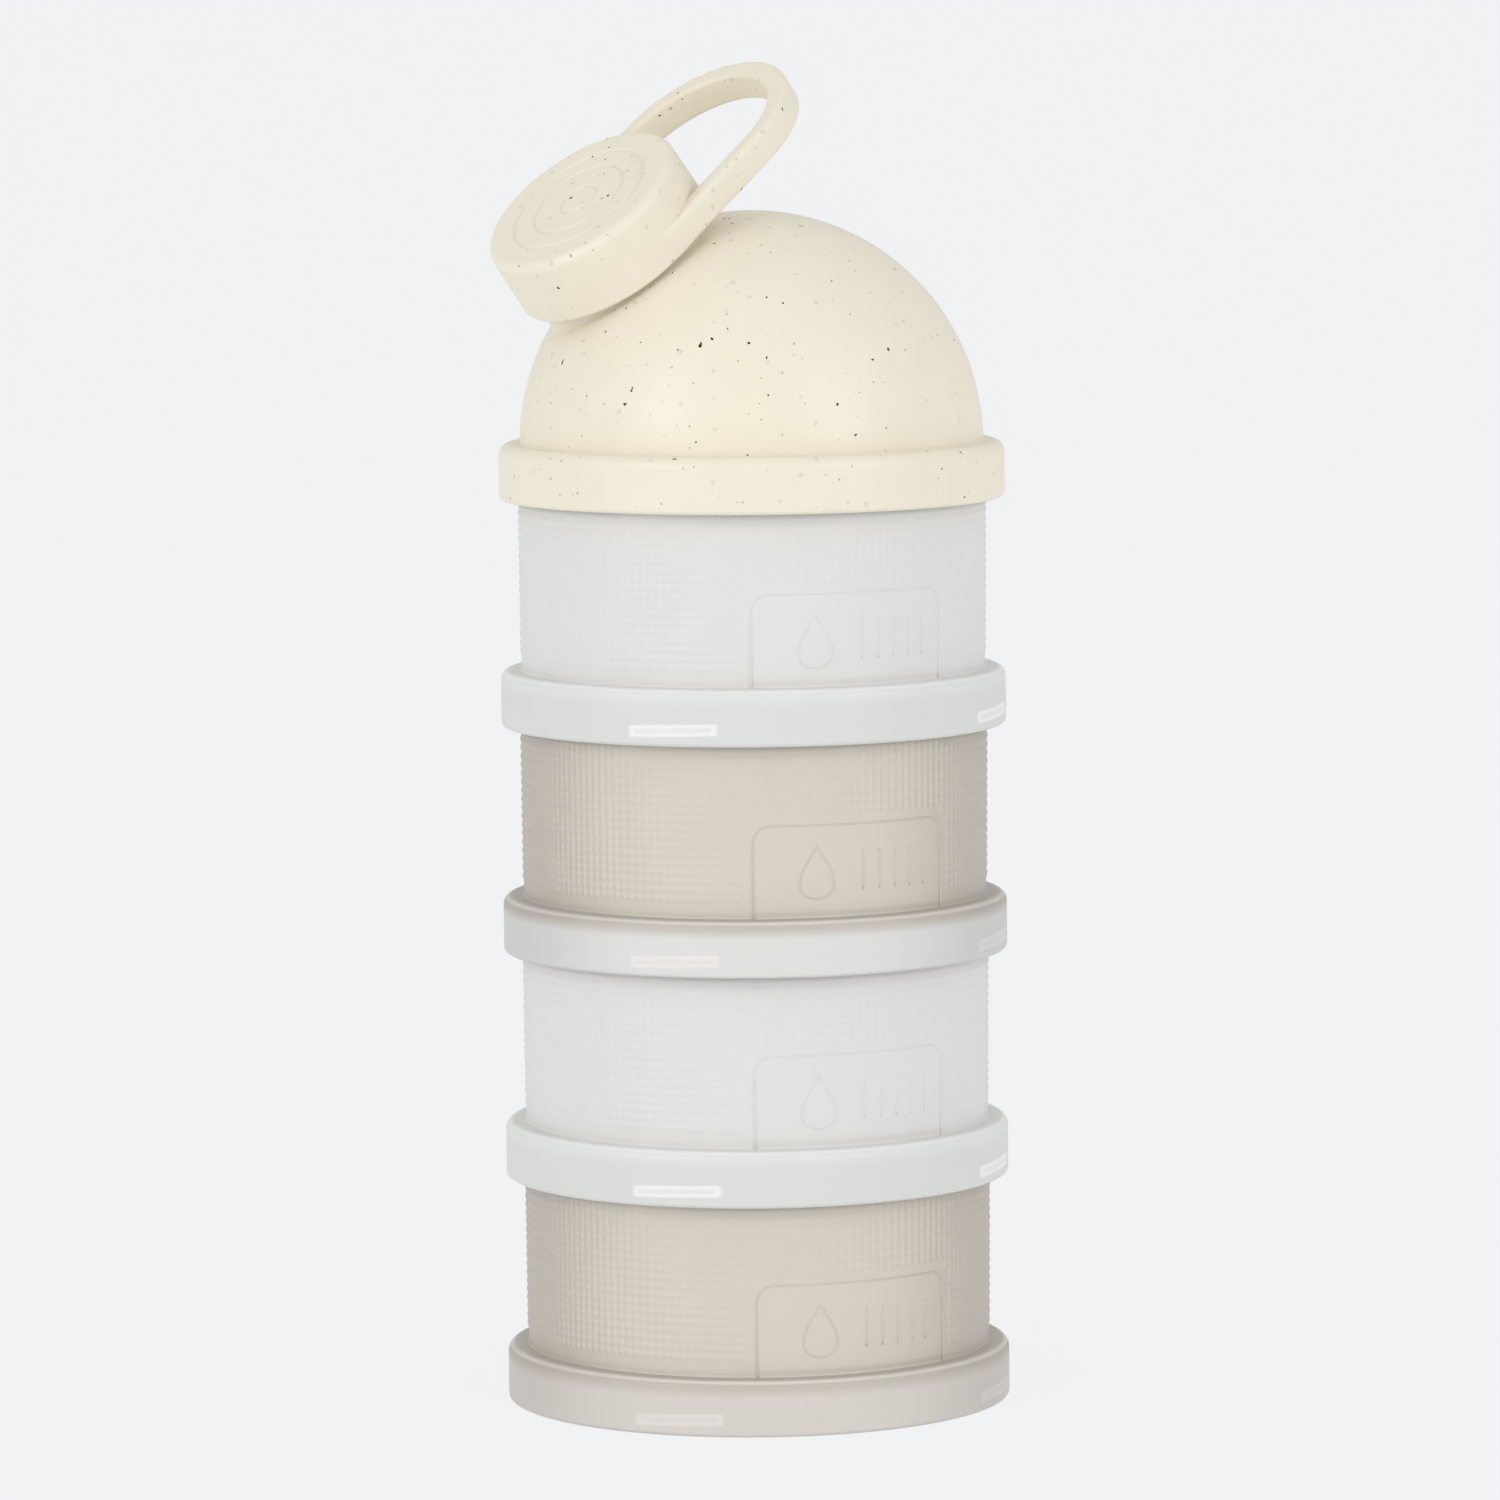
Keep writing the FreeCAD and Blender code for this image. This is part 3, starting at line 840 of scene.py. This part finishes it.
def dome_shell(settings):
    """Dome, collar and spout as one closed tube of rings.

    Each column runs up the top of the spout's bore, over its rim, down its outside, over the
    sphere on a great circle to the foot, round the collar, up the inside and up the bore.
    """
    turn = np.arange(settings.columns) * TURN / settings.columns
    tip = rounded([
        (SPOUT_BORE, SPOUT_BEAD_Z),
        (SPOUT_BORE, SPOUT_TOP, 0.5 * MM),
        (SPOUT_R, SPOUT_TOP, 0.5 * MM),
        (SPOUT_R, SPOUT_BEAD_Z + BEAD, 0.2 * MM),
        (SPOUT_R + BEAD, SPOUT_BEAD_Z, 0.15 * MM),
        (SPOUT_R, SPOUT_BEAD_Z - BEAD, 0.2 * MM),
        (SPOUT_R, SPOUT_BEAD_Z - 3 * BEAD),
    ])
    foot = (math.sqrt(DOME_R ** 2 - FOOT_RUN ** 2), DOME_LEVEL + FOOT_RUN - SEAM)
    collar = rounded(collar_profile(2 * MM, foot) + [
        (DOME_LIP_R, LEDGE_UNDER, 0.2 * MM),
        (DOME_R - DOME_WALL, DOME_LEVEL, 0.3 * MM),
        (DOME_R - DOME_WALL, DOME_LEVEL + FOOT_RUN),
    ])
    rings = np.concatenate([
        from_cap_axis(lathe(tip, turn)),
        over_dome(turn, SPOUT_R, DOME_R, FOOT_RUN, soften=0.9 * MM, rows=56),
        lathe(collar, turn + CAP_HEADING) + np.array([0, 0, DOME_FOOT]),
        over_dome(turn, SPOUT_BORE, DOME_R - DOME_WALL, 2 * FOOT_RUN, soften=0.5 * MM, rows=28)[::-1],
    ])
    return rings.reshape(-1, 3), [ring_quads(len(rings), settings.columns, close_rows=True)]


class DISPENSER_OT_dome(bpy.types.Operator):
    """Adds the pouring dome, with its collar, lugs and open spout"""
    bl_idname = "dispenser.add_dome"
    bl_label = "Add pouring dome"

    def execute(self, context):
        settings = context.scene.dispenser_dome
        lugs = joined(thread_bars(LUG_R, COLLAR_BORE + EMBED, DOME_FOOT + LUG_Z, LUG_H, LUG_FROM,
                                  LUG_SPAN))
        points, polygons = joined([dome_shell(settings), lugs])
        material = speckled_plastic(settings.cream, settings.speck)
        dome = add_piece("moulded_pouring_dome", points, polygons, material, "pouring_dome",
                         ["pouring_dome"])
        return {"FINISHED"}


# ---------------------------------------------------------------- cap

def cap_shell(settings):
    """Round cap, open below, in its own frame.

    Surface of revolution from the middle of the top down the side and back inside; the top sinks
    by depth * cos^2 across each ring groove.
    """
    turn = np.arange(settings.columns) * TURN / settings.columns
    flat_to = CAP_TOP_R - 2 * MM
    r = np.linspace(0.5 * MM, flat_to, 110)
    off = np.abs(r[:, None] - np.array(CAP_RINGS)) / RING_WIDTH
    sunk = RING_DEPTH * (np.where(off < 0.5, np.cos(math.pi * off) ** 2, 0)).sum(axis=1)
    top = np.stack([r, CAP_H - sunk], axis=-1)
    rest = rounded([
        (flat_to + 0.1 * MM, CAP_H),
        (CAP_TOP_R, CAP_H, 1.7 * MM),
        (CAP_R, 0, 0.5 * MM),
        (CAP_BORE, 0, 0.3 * MM),
        (CAP_BORE, CAP_BEAD_Z - BEAD, 0.2 * MM),
        (CAP_BORE - BEAD, CAP_BEAD_Z, 0.15 * MM),
        (CAP_BORE, CAP_BEAD_Z + BEAD, 0.2 * MM),
        (CAP_BORE, CAP_H - CAP_TOP_T, 0.5 * MM),
        (1 * MM, CAP_H - CAP_TOP_T),
    ])
    rings = lathe(np.concatenate([top, rest]), turn)
    points = np.concatenate([rings.reshape(-1, 3), [(0, 0, CAP_H), (0, 0, CAP_H - CAP_TOP_T)]])
    count = len(rings) * settings.columns
    ring = np.arange(settings.columns)
    return points, [fan(count, ring, True), ring_quads(len(rings), settings.columns),
                    fan(count + 1, count - settings.columns + ring, False)]


def loop_band():
    """Carrying loop in the cap's frame: a rounded bar swept along one arm, the end and the other.

    Its outer line is 18.6 mm either side of the middle and its inner line 15.5 mm, until the
    cap's round wall cuts in; each ends in a half circle.
    """
    w = np.linspace(0, 1, 48)
    outer_x = -LOOP_RUN_IN + w * (LOOP_CENTRE + LOOP_RUN_IN)
    inner_x = -LOOP_RUN_IN + w * (LOOP_HOLE_CENTRE + LOOP_RUN_IN)
    outer_y = LOOP_HALF - LOOP_SINK * (np.clip(LOOP_RUN_IN - outer_x, 0, None) / (2 * LOOP_RUN_IN)) ** 2
    inner_y = np.maximum(LOOP_HOLE_HALF, np.sqrt(np.clip(LOOP_ROOT_R ** 2 - inner_x ** 2, 0, None)))
    angle = np.linspace(-TURN / 4, TURN / 4, 65)[1:-1]
    outer = np.concatenate([
        np.stack([outer_x, -outer_y], -1),
        np.stack([LOOP_CENTRE + LOOP_HALF * np.cos(angle), LOOP_HALF * np.sin(angle)], -1),
        np.stack([outer_x, outer_y], -1)[::-1]])
    inner = np.concatenate([
        np.stack([inner_x, -inner_y], -1),
        np.stack([LOOP_HOLE_CENTRE + LOOP_HOLE_HALF * np.cos(angle), LOOP_HOLE_HALF * np.sin(angle)], -1),
        np.stack([inner_x, inner_y], -1)[::-1]])
    across, up = bar_section(np.linalg.norm(outer - inner, axis=-1), LOOP_H, 0.8 * MM, steps=4)
    flat = ((outer + inner) / 2)[:, None] + across[..., None] * unit(outer - inner)[:, None]
    level = LOOP_H / 2 + np.broadcast_to(up, across.shape)
    x = flat[..., 0] * math.cos(LOOP_TURN) - flat[..., 1] * math.sin(LOOP_TURN)
    y = flat[..., 0] * math.sin(LOOP_TURN) + flat[..., 1] * math.cos(LOOP_TURN)
    return tube(np.stack([x, y, level], axis=-1))


class DISPENSER_OT_cap(bpy.types.Operator):
    """Adds the spout's cap with its carrying loop"""
    bl_idname = "dispenser.add_cap"
    bl_label = "Add spout cap"

    def execute(self, context):
        points, polygons = joined([cap_shell(context.scene.dispenser_dome), loop_band()])
        material = bpy.data.materials[SPECKLED]
        cap = add_piece("moulded_spout_cap", from_cap_axis(points), polygons, material, "spout_cap",
                        ["spout_cap"])
        return {"FINISHED"}


class DISPENSER_OT_seals(bpy.types.Operator):
    """Gives the silicone to the seal rings and the cap's liner, whose CAD shapes stay"""
    bl_idname = "dispenser.finish_seals"
    bl_label = "Finish seals"

    def execute(self, context):
        material = silicone()
        for name in (*SEALS, "cap_liner"):
            ring = frame["nodes"][name]
            ring.data.materials.clear()
            ring.data.materials.append(material)
        return {"FINISHED"}


# ---------------------------------------------------------------- stage

def add_light(name, place, aim, power):
    """Square soft light that faces a point."""
    light = bpy.data.lights.new(name, "AREA")
    light.shape = "SQUARE"
    light.size = SOFTBOX_SIZE
    light.energy = power
    lamp = bpy.data.objects.new(name, light)
    lamp.location = place
    lamp.rotation_euler = (Vector(aim) - Vector(place)).to_track_quat("-Z", "Y").to_euler()
    bpy.context.scene.collection.objects.link(lamp)


class DISPENSER_OT_stage(bpy.types.Operator):
    """Adds the pale floor, the soft lights and the camera"""
    bl_idname = "dispenser.add_stage"
    bl_label = "Add studio"

    def execute(self, context):
        scene = context.scene
        settings = scene.dispenser_stage
        ring = np.arange(64)
        rim = lathe(np.array([[FLOOR_R, 0]]), ring * TURN / 64).reshape(-1, 3)
        points = np.concatenate([rim, [(0, 0, 0)]]) - np.array([0, 0, FLOOR_DROP])
        floor = add_piece("studio_floor", points, [fan(64, ring, True)],
                          backdrop_paper(settings.backdrop), None)
        middle = (0, 0, settings.aim_height)
        add_light("key_softbox", KEY_PLACE, middle, settings.key_power)
        add_light("fill_softbox", FILL_PLACE, middle, settings.fill_power)
        world = bpy.data.worlds.new("Studio_surround")
        world.use_nodes = True
        background = world.node_tree.nodes["Background"]
        background.inputs["Color"].default_value = settings.backdrop
        seen = node(world.node_tree, "ShaderNodeLightPath").outputs["Is Camera Ray"]
        strength = ramp(world.node_tree, seen, 0, 1, settings.surround, 1.0)
        world.node_tree.links.new(strength, background.inputs["Strength"])
        scene.world = world
        camera = bpy.data.cameras.new("Camera")
        camera.lens = settings.lens
        camera.sensor_width = 36
        camera.clip_start = 0.05
        camera.clip_end = 2 * FLOOR_R
        place = Vector((settings.camera_side, -settings.camera_distance, settings.camera_height))
        aim = Vector((settings.camera_side, 0, settings.aim_height))
        look = (aim - place).to_track_quat("-Z", "Y").to_matrix()
        stand = bpy.data.objects.new("Camera", camera)
        stand.matrix_world = (Matrix.Translation(place)
                              @ (look @ Matrix.Rotation(settings.camera_roll, 3, "Z")).to_4x4())
        scene.collection.objects.link(stand)
        scene.camera = stand
        scene.view_settings.view_transform = "Standard"
        return {"FINISHED"}


# ---------------------------------------------------------------- add-on

class DISPENSER_PT_panel(bpy.types.Panel):
    bl_label = "Formula dispenser"
    bl_idname = "DISPENSER_PT_panel"
    bl_space_type = "VIEW_3D"
    bl_region_type = "UI"
    bl_category = "Dispenser"

    def draw(self, context):
        for settings in (context.scene.dispenser_cups, context.scene.dispenser_dome,
                         context.scene.dispenser_stage):
            for name in settings.__annotations__:
                self.layout.prop(settings, name)
        for operator in OPERATORS:
            self.layout.operator(operator.bl_idname)


OPERATORS = (DISPENSER_OT_cups, DISPENSER_OT_dome, DISPENSER_OT_cap, DISPENSER_OT_seals,
             DISPENSER_OT_stage)
CLASSES = (CupSettings, DomeSettings, StageSettings, *OPERATORS, DISPENSER_PT_panel)


def register():
    for cls in CLASSES:
        bpy.utils.register_class(cls)
    bpy.types.Scene.dispenser_cups = PointerProperty(type=CupSettings)
    bpy.types.Scene.dispenser_dome = PointerProperty(type=DomeSettings)
    bpy.types.Scene.dispenser_stage = PointerProperty(type=StageSettings)


def unregister():
    del bpy.types.Scene.dispenser_cups
    del bpy.types.Scene.dispenser_dome
    del bpy.types.Scene.dispenser_stage
    for cls in reversed(CLASSES):
        bpy.utils.unregister_class(cls)


def main():
    register()
    bpy.ops.dispenser.add_cups()
    bpy.ops.dispenser.add_dome()
    bpy.ops.dispenser.add_cap()
    bpy.ops.dispenser.finish_seals()
    bpy.ops.dispenser.add_stage()


if __name__ == "__main__":
    main()
